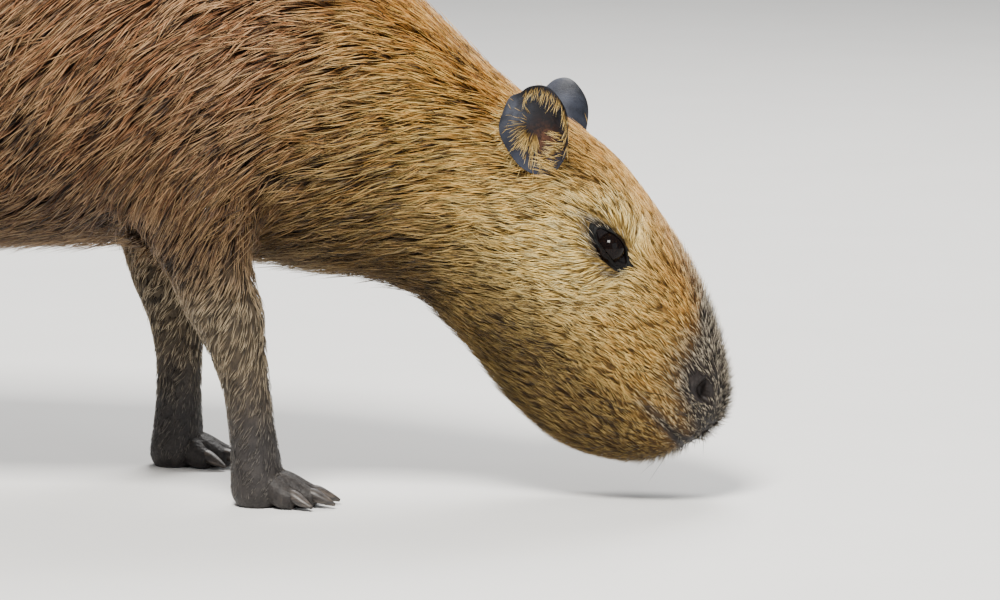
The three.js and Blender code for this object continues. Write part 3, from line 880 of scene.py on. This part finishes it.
def eyeForm(name, side, grid, reach, lift=0):
    # a ball's grid drawn out along the eye's own axes: along the head, across it and out of it
    theta, phi = grid
    ways = np.stack([np.sin(theta) * np.cos(phi), np.sin(theta) * np.sin(phi), np.cos(theta)], -1) * reach
    centre = eyeCentres[side] + lift * eyePlaces[side][3]
    points, triangles = closedGrid(centre + ways @ np.stack(eyePlaces[side][1:]))
    return meshFrom(name, toFrame(points), triangles)


def eyeball(side):
    # a sphere whose front is drawn out a little, as the clear front of an eye is
    grid = ballGrid(49, 72)
    radius = face["eye"]["radius"] * (1 + 0.035 * bell(grid[0], 0, 0.62))
    return eyeForm("eyeball", side, grid, radius[..., None])


def wetLens(side):
    # a flat ellipsoid that closes the corners of the eye round the ball
    return eyeForm("wetLens", side, ballGrid(25, 64), eye["lens"], eye["lensAt"])


def lidRings(side):
    # from the lid's edge on the ball over its rolled rim and across bare folded skin to under the coat
    origin, along, across, out = eyePlaces[side]
    turns = np.arange(eye["sides"]) / eye["sides"] * tau
    share, phi = np.meshgrid(np.linspace(0, 1, eye["rings"]), turns, indexing="ij")
    pointed = np.abs(np.sin(phi)) ** 1.25 * np.sign(np.sin(phi))
    grow = share**1.1
    halfLong, halfHigh = (eye["opening"][i] + (eye["bare"][i] - eye["opening"][i]) * grow for i in (0, 1))
    x = halfLong * np.cos(phi)
    y = halfHigh * (pointed * (1 - 0.45 * grow) + np.sin(phi) * 0.45 * grow)
    radius = face["eye"]["radius"]
    r2 = np.minimum(x**2 + y**2, radius**2 * 0.93)
    onBall = np.sqrt((radius + eye["margin"]) ** 2 - r2)
    flat = origin + along * x[-1][:, None] + across * y[-1][:, None]
    ground, groundOut = onSkin(flat)
    outer = (ground - groundOut * 0.7 - eyeCentres[side]) @ out
    fall = ease(share, 0.05, 1)
    z = onBall[0] * (1 - fall) + outer * fall + eye["roll"] * bell(share, 0.1, 0.09)
    z = np.where(share < 0.3, np.maximum(z, onBall * (1 - share / 0.3) + z * share / 0.3), z)
    folds = 0.55 * np.sin(share * 17 + 0.6 * np.cos(phi)) * bell(share, 0.5, 0.24)
    z = z + folds * (0.4 + 0.6 * np.abs(np.sin(phi)))
    z = z - 0.8 * ease(np.abs(np.cos(phi)), 0.82, 1) * (1 - ease(share, 0.1, 0.5))
    return eyeCentres[side] + along * x[..., None] + across * y[..., None] + out * z[..., None]


def shellOf(rings, thick, inward):
    # the sheet and the same sheet set in by its thickness, joined at both edges
    loop = np.concatenate([rings, (rings - inward * thick)[::-1]], 0)
    row = np.arange(len(loop))
    points = loop.reshape(-1, 3)
    return points, facingOut(points, ringStrips(loop.shape[1], row, np.roll(row, -1)))


print("eyes, lids, ears and claws")
lidPieces, earPieces, eyePieces, clawPieces = [], [], [], []
for side, word in ((-1, "right"), (1, "left")):
    ball = pieceFrom(f"eyeball_{word}", eyeball(side))
    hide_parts(f"eye_{word}")
    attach(ball, "root")
    lens = pieceFrom(f"wet_corner_{word}", wetLens(side))
    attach(lens, "root")
    eyePieces += [ball, lens]
    points, triangles = shellOf(lidRings(side), 0.9, eyePlaces[side][3])
    lids = pieceFrom(f"lids_{word}", meshFrom("lids", toFrame(points), triangles))
    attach(lids, "root")
    lidPieces.append(lids)

# ears: a cup with its front edge rolled in, and hairs inside and along its front
ear = {
    "up": {-1: (-0.16, 0.34, 0.92), 1: (-0.2, 0.55, 0.8)},
    "face": (0.34, 0.92, -0.16),
    "wide": 33,
    "tall": 39,
    "cup": 12,
    "rim": 2.0,
    "thick": 8,
    "hairs": 640,
    "hairWidth": 0.36,
}


def earFrame(side):
    up = unit(np.array([ear["up"][side][0], side * ear["up"][side][1], ear["up"][side][2]]))
    faceWay = np.array([ear["face"][0], side * ear["face"][1], ear["face"][2]])
    faceWay = unit(faceWay - up * dot(faceWay, up))
    front = unit(np.cross(faceWay, up) * side)
    if front[0] < 0:
        front = -front
    return up, faceWay, front


def earPoint(side, share, turn, back):
    # a disc of share 0 at its middle and 1 at its rim, bowed into a cup; the back lies under it by the wall
    up, faceWay, front = earFrame(side)
    c, s = np.cos(turn), np.sin(turn)
    # the notch in the upper edge and the straighter edge behind it
    notch = 0.07 * bell(turn, 1.8, 0.17) + 0.05 * bell(turn, 2.35, 0.35)
    ripple = 0.02 * np.sin(3 * turn + 0.6) + 0.012 * np.sin(7 * turn) - notch
    w = share * ear["wide"] * c * (0.88 + 0.12 * s) * (1 + ripple)
    u = ear["tall"] * (1 + share * s * (1 - 0.06 * c * c) * (1 + ripple)) - 4
    roll = np.maximum(0, c) ** 3 * share**4 * 8
    depth = -ear["cup"] * (1 - share**2.2) + roll
    fold = 1.4 * bell(share, 0.66, 0.1) * ease(c, -0.2, 0.8) * (1 - back)
    wall = ear["rim"] + (ear["thick"] - ear["rim"]) * (1 - share) ** 1.3
    wall = wall + np.where(s < 0, -s * 2 * share, 0)
    edge = 1 - ease(share, 0.93, 1)
    depth = depth + fold - back * wall * (0.45 + 0.55 * edge)
    base = earRoot[side]
    return base + (w - roll * 0.8)[..., None] * front + u[..., None] * up + depth[..., None] * faceWay


def byKind(edge, tuft, spans):
    # a random value for each hair out of the span of its kind: edge, tuft or fan
    onEdge, inTuft, inFan = (rng.uniform(low, high, len(edge)) for low, high in spans)
    return np.where(edge, onEdge, np.where(tuft, inTuft, inFan))


def curvedHairs(start, goes, long, bend):
    # straight on by the share of the length, and bent by the share's square
    return np.stack([start + goes * (long * t)[:, None] + bend * t * t for t in (0, 0.36, 0.7, 1.0)], 1)


earStations, earSide, earUv = [], [], []
for side, word in ((-1, "right"), (1, "left")):
    shares = np.linspace(0.02, 1, 40) ** 0.8
    share, turn = np.meshgrid(shares, np.arange(96) / 96 * tau, indexing="ij")
    loop = np.concatenate([earPoint(side, share, turn, 0.0), earPoint(side, share[::-1], turn, 1.0)], 0)
    points, triangles = closedGrid(loop)
    earPiece = pieceFrom(f"ear_shell_{word}", meshFrom("ear", toFrame(points), triangles))
    # for front and back: the depth in the cup, which sets painted shade inside it, how near the ear's canal
    # is, and the mask of a painted sheen over the upper rear
    x, y = share * np.cos(turn), share * np.sin(turn)
    canal = np.exp(-((x * ear["wide"] - 5) ** 2 + (y * ear["tall"] + 14) ** 2) / 160)
    # smooth: the mask of a painted sheen on the upper rear, weaker on the back sheet
    smooth = np.exp(-((x + 0.45) ** 2 + (y - 0.5) ** 2) / 0.12)
    none = np.zeros_like(share)
    layers = ((1 - share**2, none, [1, 0]), (canal, none, [0, 0]), (smooth, 0.6 * smooth, [0, 0]))
    cup = [np.append(np.concatenate([fore, rear]).ravel(), ends) for fore, rear, ends in layers]
    cup = np.stack([*cup, np.ones(len(points))], -1)
    setColours(earPiece.data, "cup", cup)
    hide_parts(f"ear_{word}")
    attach(earPiece, "root")
    earPieces.append(earPiece)
    # hairs: down along the rolled front edge, a tuft at the lower front, and a fan over the rest of the cup
    up, faceWay, front = earFrame(side)
    n = ear["hairs"]
    kind = rng.random(n)
    edge, tuft = kind < 0.15, kind > 0.84
    fanTurn = 1.5 + 3.1 * np.sqrt(rng.random(n))
    edgeTurn = rng.uniform(-0.6, 1.7, n)
    hairTurn = np.where(edge, edgeTurn, np.where(tuft, rng.uniform(-1.6, -0.3, n), fanTurn))
    hairShare = byKind(edge, tuft, ((0.86, 1), (0.7, 1), (0.15, 0.93)))
    start = earPoint(side, hairShare, hairTurn, 0.0) - faceWay * 0.4
    radial = np.cos(hairTurn)[:, None] * front + np.sin(hairTurn)[:, None] * up
    goes = 0.85 * radial + 0.42 * faceWay
    goes = np.where(tuft[:, None], -0.7 * front + 0.5 * up + 0.45 * faceWay, goes)
    goes = np.where(edge[:, None], -0.45 * front - 0.8 * up + 0.25 * faceWay, goes)
    goes = unit(goes + rng.normal(0, 0.2, (n, 3)))
    long = byKind(edge, tuft, ((5, 17), (9, 19), (9, 20)))
    earStations.append(curvedHairs(start, goes, long, -0.16 * faceWay * long[:, None]))
    earSide.append(unit(np.cross(goes, faceWay)))
    earUv.append(np.stack([0.45 + 0.02 * hairShare, 0.3 + 0.4 * (side > 0) + 0.02 * hairTurn / tau], -1))
n = 2 * ear["hairs"]
earZones = np.tile([0.9, 0.0, 0.0, 0.0], (n, 1)), np.tile([0.5, 0.0, 0.0, 0.0], (n, 1))
earTints = np.stack([rng.uniform(0.4, 1, n), rng.uniform(0.3, 1, n), rng.random(n)], -1)
coatPieces.append(
    hairPiece(
        "ear_hairs",
        np.arange(n),
        np.concatenate(earStations),
        np.full(n, ear["hairWidth"]),
        np.concatenate(earSide),
        np.concatenate(earUv),
        earZones,
        earTints,
    )
)

# claws
for name, place in legs["places"].items():
    kind = legs[place["kind"]]
    size = kind["claw"]
    for i in range(len(kind["fan"])):
        toeWay, tip, _ = toeStations(place, i)

        def at(share, z):
            return [tip[0] + toeWay[0] * size * share, tip[1] + toeWay[1] * size * share, z]

        clawLine = [
            at(-0.42, tip[2] + size * 0.12) + [size * 0.2, size * 0.18],
            at(-0.1, tip[2] + size * 0.16) + [size * 0.28, size * 0.24],
            at(0.4, tip[2] - size * 0.03) + [size * 0.21, size * 0.17],
            at(0.8, size * 0.16) + [size * 0.07, size * 0.06],
        ]
        points, triangles = closedGrid(tubeRings(clawLine, 28, 30))
        points[:, 2] = np.maximum(points[:, 2], 0.05)
        claw = pieceFrom(f"nail_{name}_{i + 1}", meshFrom("claw", toFrame(points), triangles))
        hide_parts(f"claw_{name}_{i + 1}")
        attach(claw, "root")
        clawPieces.append(claw)


# whiskers of the muzzle and chin
whisker = {"count": 46, "length": (14, 38), "width": 0.55}
n = whisker["count"] * 2
whiskS = rng.uniform(19.2, 22.2, n)
whiskA = np.where(np.arange(n) % 2, 1, -1) * rng.uniform(0.16, 0.36, n) * tau
start, out = onSkin(bodyPoint(whiskS, whiskA, -coatDepth(whiskS)))
goes = unit(out * 0.7 - headAlong * 0.75 + np.array([0, 0, -0.12]) + rng.normal(0, 0.12, (n, 3)))
long = rng.uniform(*whisker["length"], n)
whiskStations = curvedHairs(start, goes, long, np.array([-0.1, 0, -0.16]) * long[:, None])
whiskStations[:, 0] -= out * 0.5
whiskUv = np.stack([0.01 + 0.74 * whiskS / nose, 0.01 + 0.97 * (whiskA % tau) / tau], -1)
coatPieces.append(
    hairPiece(
        "whiskers",
        np.arange(n),
        whiskStations,
        np.full(n, whisker["width"]),
        unit(np.cross(goes, out)),
        whiskUv,
        (np.tile([0, 1.0, 0, 0], (n, 1)), np.zeros((n, 4))),
        np.tile([0.1, 0.2, 0.5], (n, 1)),
    )
)


# shader maths as plain expressions
class Sock:
    def __init__(self, tree, socket):
        self.tree, self.socket = tree, socket

    def math(self, operation, *values):
        node = self.tree.nodes.new("ShaderNodeMath")
        node.operation = operation
        for slot, value in zip(node.inputs, (self, *values)):
            feed(slot, value)
        return Sock(self.tree, node.outputs[0])

    def __add__(self, other):
        return self.math("ADD", other)

    def __sub__(self, other):
        return self.math("SUBTRACT", other)

    def __mul__(self, other):
        return self.math("MULTIPLY", other)

    def __truediv__(self, other):
        return self.math("DIVIDE", other)

    def __rsub__(self, other):
        return (self * -1.0).math("ADD", other)

    __radd__, __rmul__ = __add__, __mul__

    def step(self, low, high):
        # 0 below low, 1 above high and smooth between
        t = ((self - low) / (high - low)).math("MAXIMUM", 0.0).math("MINIMUM", 1.0)
        return t * t * (3.0 - t * 2.0)


def feed(slot, value):
    # a link from a Sock, or else a plain value
    if isinstance(value, Sock):
        value.tree.links.new(value.socket, slot)
    else:
        slot.default_value = value


class Finish:
    def __init__(self, name):
        self.material = bpy.data.materials.new(name)
        self.material.use_nodes = True
        self.tree = self.material.node_tree
        self.tree.nodes.clear()

    def node(self, kind, settings=None, output=0, **values):
        # settings first, then each socket's value or link; _ in a name stands for a space
        made = self.tree.nodes.new(kind)
        for key, value in (settings or {}).items():
            setattr(made, key, value)
        for key, value in values.items():
            feed(made.inputs[key.replace("_", " ")], value)
        return Sock(self.tree, made.outputs[output])

    def attribute(self, name):
        return self.node("ShaderNodeAttribute", {"attribute_name": name}, "Color")

    def parts(self, name):
        colour = self.attribute(name)
        alpha = self.node("ShaderNodeAttribute", {"attribute_name": name}, "Alpha")
        split = self.node("ShaderNodeSeparateColor", None, 0, Color=colour)
        outs = split.socket.node.outputs
        return [Sock(self.tree, outs[i]) for i in range(3)] + [alpha]

    def blend(self, first, second, factor):
        made = self.tree.nodes.new("ShaderNodeMix")
        made.data_type = "RGBA"
        for slot, value in zip((made.inputs[6], made.inputs[7], made.inputs[0]), (first, second, factor)):
            feed(slot, (*value, 1) if isinstance(value, tuple) else value)
        return Sock(self.tree, made.outputs[2])

    def noise(self, scale, detail=3.0, rough=0.55, where=None):
        at = where or self.place()
        values = {"Vector": at, "Scale": scale, "Detail": detail, "Roughness": rough}
        return self.node("ShaderNodeTexNoise", **values)

    def cells(self, scale, feature):
        at = self.place()
        return self.node("ShaderNodeTexVoronoi", {"feature": feature}, "Distance", Vector=at, Scale=scale)

    def place(self, stretch=None):
        at = self.node("ShaderNodeTexCoord", None, "Object")
        if stretch:
            at = self.node("ShaderNodeMapping", None, 0, Vector=at, Scale=stretch)
        return at

    def bump(self, height, strength, distance):
        return self.node("ShaderNodeBump", None, 0, Height=height, Strength=strength, Distance=distance)

    def finish(self, **values):
        shader = self.node("ShaderNodeBsdfPrincipled", None, 0, **values)
        out = self.tree.nodes.new("ShaderNodeOutputMaterial")
        self.tree.links.new(shader.socket, out.inputs["Surface"])
        return self.material


# colours of the coat by place: the dark of its roots, its middle, and its pale tips
tonesOf = {
    "back": ((0.014, 0.006, 0.003), (0.250, 0.102, 0.037), (0.90, 0.57, 0.29)),
    "golden": ((0.034, 0.015, 0.003), (0.500, 0.258, 0.048), (1.0, 0.74, 0.25)),
    "crest": ((0.032, 0.011, 0.002), (0.400, 0.155, 0.016), (0.84, 0.48, 0.09)),
    "muzzle": ((0.004, 0.003, 0.003), (0.042, 0.030, 0.025), (0.70, 0.60, 0.43)),
    # under: the belly's dark coat, also laid up the lower flank as painted shade
    "under": ((0.005, 0.003, 0.002), (0.036, 0.018, 0.007), (0.28, 0.17, 0.075)),
    "leg": ((0.022, 0.016, 0.011), (0.330, 0.250, 0.155), (0.80, 0.67, 0.45)),
    "foot": ((0.013, 0.011, 0.011), (0.080, 0.070, 0.063), (0.27, 0.245, 0.21)),
    # ring: pale gold, laid as painted light round the eye and over the cheek, and the ear hairs' own pale
    # colour
    "ring": ((0.110, 0.058, 0.012), (0.940, 0.660, 0.190), (1.0, 0.90, 0.50)),
    # jaw: painted shade under the lower jaw
    "jaw": ((0.010, 0.005, 0.002), (0.100, 0.055, 0.012), (0.40, 0.27, 0.08)),
}


def zoneColour(paint, level):
    # one step of every zone's colours, laid over one another by the markings and by the masks of painted
    # light and painted shade
    golden, muzzle, under, leg = paint.parts("zonesA")
    ring, foot, crest, jaw = paint.parts("zonesB")
    colour = paint.blend(tonesOf["back"][level], tonesOf["golden"][level], golden)
    for name, mask in (
        ("crest", crest * 0.85),
        ("ring", ring * 0.9),
        ("jaw", jaw * 0.92),
        ("leg", leg),
        ("under", under * (1.0 - leg * 0.7)),
        ("foot", foot),
        ("muzzle", muzzle),
    ):
        colour = paint.blend(colour, tonesOf[name][level], mask)
    return colour


def hairFinish():
    paint = Finish("hair")
    along, tone, pale, bunchTone = paint.parts("hair")
    dark, middle, light = (zoneColour(paint, i) for i in range(3))
    patch = paint.noise(9.0, 3.0)
    fleck = paint.noise(55.0, 2.0)
    body = paint.blend(dark, middle, (tone * 0.9 + bunchTone * 0.16 + patch * 0.3 - 0.2).step(0.04, 0.84))
    root = paint.blend(dark, body, along.step(0.0, 0.55))
    tip = along.step(0.35, 0.9) * (pale + fleck * 0.4).step(0.4, 0.95)
    colour = paint.blend(root, light, tip * 0.85)
    return paint.finish(Base_Color=colour, Roughness=0.5, Specular_IOR_Level=0.35)


def skinFinish():
    paint = Finish("hide")
    dark, middle = zoneColour(paint, 0), zoneColour(paint, 1)
    _, muzzle, _, _ = paint.parts("zonesA")
    _, foot, _, _ = paint.parts("zonesB")
    bare = (muzzle + foot).math("MINIMUM", 1.0)
    streak = paint.noise(240.0, 4.0, 0.6, paint.place((1.0, 1.0, 0.35)))
    grain = paint.noise(620.0, 3.0)
    pores = paint.cells(430.0, "F1")
    colour = paint.blend(dark, middle, (streak * 1.6 - 0.3).step(0.0, 1.0) * (0.32 + bare * 0.1))
    height = streak * 0.6 + grain * 0.3 + pores * 0.5
    rough = 0.72 - bare * 0.18
    bump = paint.bump(height, 0.6, 0.0012)
    return paint.finish(Base_Color=colour, Roughness=rough, Specular_IOR_Level=0.22, Normal=bump)


def earFinish():
    paint = Finish("earSkin")
    wide = paint.noise(38.0, 4.0)
    fine = paint.noise(300.0, 4.0, 0.6)
    creases = paint.cells(330.0, "DISTANCE_TO_EDGE")
    # the cup's depth for painted shade, how near the canal is, and where the painted sheen lies
    depth, canal, smooth, _ = paint.parts("cup")
    colour = paint.blend((0.007, 0.008, 0.012), (0.034, 0.038, 0.054), wide.step(0.35, 0.7))
    colour = paint.blend(colour, (0.075, 0.070, 0.072), fine.step(0.6, 0.85) * 0.3)
    # painted shade: darker deeper in the cup
    colour = paint.blend(colour, (0.006, 0.005, 0.006), depth.step(0.15, 0.9) * 0.8)
    colour = paint.blend(colour, (0.150, 0.058, 0.026), canal * fine.step(0.3, 0.7) * 0.8)
    # painted sheen: blue-grey over the upper rear
    colour = paint.blend(colour, (0.150, 0.165, 0.215), smooth * wide.step(0.3, 0.65) * 0.8)
    height = fine * 0.5 + creases.step(0.0, 0.12) * 0.5 + wide * 0.5
    bump = paint.bump(height, 0.4, 0.0005)
    return paint.finish(Base_Color=colour, Roughness=0.44 + fine * 0.2, Specular_IOR_Level=0.2, Normal=bump)


def lidFinish():
    paint = Finish("lidSkin")
    fine = paint.noise(420.0, 4.0, 0.6)
    creases = paint.cells(520.0, "DISTANCE_TO_EDGE")
    colour = paint.blend((0.003, 0.003, 0.003), (0.014, 0.012, 0.011), fine.step(0.45, 0.85))
    height = fine * 0.5 + creases.step(0.0, 0.12) * 0.5
    bump = paint.bump(height, 0.4, 0.0004)
    return paint.finish(Base_Color=colour, Roughness=0.5 + fine * 0.2, Specular_IOR_Level=0.2, Normal=bump)


def eyeFinish():
    paint = Finish("eyeball")
    fleck = paint.noise(900.0, 3.0)
    colour = paint.blend((0.003, 0.002, 0.002), (0.012, 0.006, 0.004), fleck.step(0.45, 0.75))
    return paint.finish(Base_Color=colour, Roughness=0.06, Specular_IOR_Level=0.1)


def clawFinish():
    paint = Finish("horn")
    bands = paint.noise(130.0, 4.0, 0.6, paint.place((0.4, 1.0, 2.5)))
    wear = paint.noise(420.0, 3.0)
    colour = paint.blend((0.016, 0.013, 0.012), (0.085, 0.066, 0.052), bands.step(0.35, 0.72))
    colour = paint.blend(colour, (0.17, 0.14, 0.11), wear.step(0.6, 0.85) * 0.5)
    bump = paint.bump(bands + wear * 0.5, 0.4, 0.0005)
    return paint.finish(Base_Color=colour, Roughness=0.34 + wear * 0.25, Normal=bump)


def floorFinish():
    paint = Finish("floor")
    speck = paint.noise(6.0, 4.0)
    colour = paint.blend((0.74, 0.735, 0.72), (0.80, 0.795, 0.78), speck)
    return paint.finish(Base_Color=colour, Roughness=0.65)


print("finishes")
for made, pieces in (
    (hairFinish(), coatPieces),
    (skinFinish(), [skin]),
    (earFinish(), earPieces),
    (lidFinish(), lidPieces),
    (eyeFinish(), eyePieces),
    (clawFinish(), clawPieces),
):
    for piece in pieces:
        piece.data.materials.clear()
        piece.data.materials.append(made)

floorHalf = 30
corner = np.array([[-1, -1, 0], [1, -1, 0], [1, 1, 0], [-1, 1, 0]], float) * floorHalf
floor = pieceFrom("floor", meshFrom("floor", corner, np.array([[0, 1, 2], [0, 2, 3]]), False))
floor.data.materials.append(floorFinish())

print("done")
